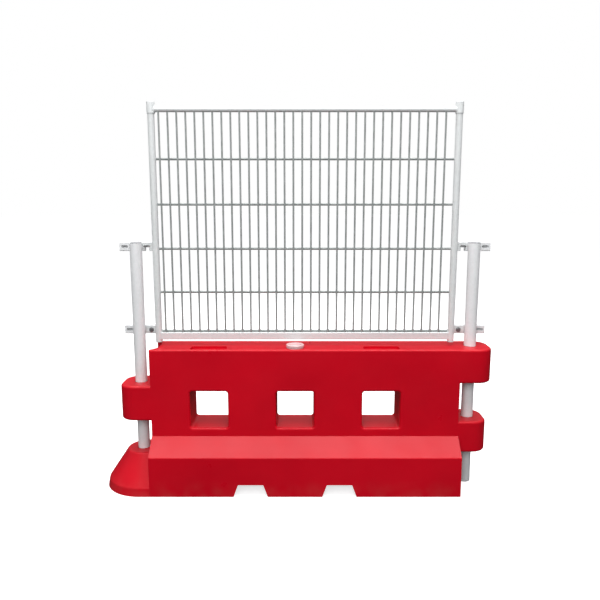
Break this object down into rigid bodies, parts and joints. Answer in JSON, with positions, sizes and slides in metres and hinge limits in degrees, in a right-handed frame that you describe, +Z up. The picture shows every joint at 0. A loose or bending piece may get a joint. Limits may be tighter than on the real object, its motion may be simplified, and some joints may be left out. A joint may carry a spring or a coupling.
{
  "type": "water filled barrier",
  "caption": "Hollow red plastic road barrier with see-through windows, filled with water as ballast, linked end to end by steel posts that carry a welded wire mesh fence.",
  "frame": {"origin": "on the ground, midway between the two link posts on the centre plane", "axes": "+Z up, +X along the barrier towards the end with two lugs, -Y the front face"},
  "size_m": [1.986, 0.4255, 1.9446],
  "materials": {
    "red_shell": "rotomoulded polyethylene, satin to gloss",
    "neck_plastic": "natural moulded polyethylene",
    "cap_plastic": "natural moulded polyethylene",
    "drain_plastic": "moulded black",
    "seal_rubber": "moulded seal",
    "post_paint": "light grey coating over galvanised tube",
    "fence_paint": "light grey coating over galvanised tube",
    "wire_zinc": "galvanised wire",
    "bolt_steel": "dark zinc",
    "plug_plastic": "moulded grey"
  },
  "bodies": {
    "barrier": {"barrier_body": "red_shell", "filler_neck": "neck_plastic", "drain_bush": "neck_plastic"},
    "fence_and_posts": {"fence_top_rail": "fence_paint", "fence_bottom_rail": "fence_paint", "fence_upright_wires": "wire_zinc", "fence_cross_wires": "wire_zinc", "fence_bolts": "bolt_steel", "fence_nuts": "bolt_steel", "fence_washers": "bolt_steel", "link_post_left": "post_paint", "post_top_plug_left": "plug_plastic", "post_foot_plug_left": "plug_plastic", "upper_cross_arm_left": "post_paint", "lower_cross_arm_left": "post_paint", "fence_stile_left": "fence_paint", "stile_collar_left": "fence_paint", "stile_foot_plug_left": "plug_plastic", "upper_fence_ear_left": "fence_paint", "lower_fence_ear_left": "fence_paint", "link_post_right": "post_paint", "post_top_plug_right": "plug_plastic", "post_foot_plug_right": "plug_plastic", "upper_cross_arm_right": "post_paint", "lower_cross_arm_right": "post_paint", "fence_stile_right": "fence_paint", "stile_collar_right": "fence_paint", "stile_foot_plug_right": "plug_plastic", "upper_fence_ear_right": "fence_paint", "lower_fence_ear_right": "fence_paint"},
    "filler_seal": {"filler_cap_seal": "seal_rubber"},
    "filler_cap": {"filler_cap": "cap_plastic"},
    "drain_seal": {"drain_plug_seal": "seal_rubber"},
    "drain_plug": {"drain_plug": "drain_plastic"}
  },
  "joints": [
    {"name": "fence_lift", "type": "slide", "parent": "barrier", "child": "fence_and_posts", "axis": [0, 0, 1], "range_m": [0, 0.75]},
    {"name": "filler_cap_rise", "type": "slide", "parent": "barrier", "child": "filler_seal", "axis": [0, 0, 1], "range_m": [0, 0.0121]},
    {"name": "filler_cap_turn", "type": "hinge", "parent": "filler_seal", "child": "filler_cap", "pos_m": [-0.05, -0.05, 0.745], "axis": [0, 0, 1], "range_deg": [0, 1080]},
    {"name": "drain_plug_rise", "type": "slide", "parent": "barrier", "child": "drain_seal", "axis": [0, 1, 0], "range_m": [0, 0.0121]},
    {"name": "drain_plug_turn", "type": "hinge", "parent": "drain_seal", "child": "drain_plug", "pos_m": [0.5, 0.21, 0.062], "axis": [0, 1, 0], "range_deg": [0, 1080]}
  ],
  "couplings": [
    {"joint": "filler_cap_rise", "follows": "filler_cap_turn", "m_per_rad": 0.00063662},
    {"joint": "drain_plug_rise", "follows": "drain_plug_turn", "m_per_rad": 0.00063662}
  ]
}
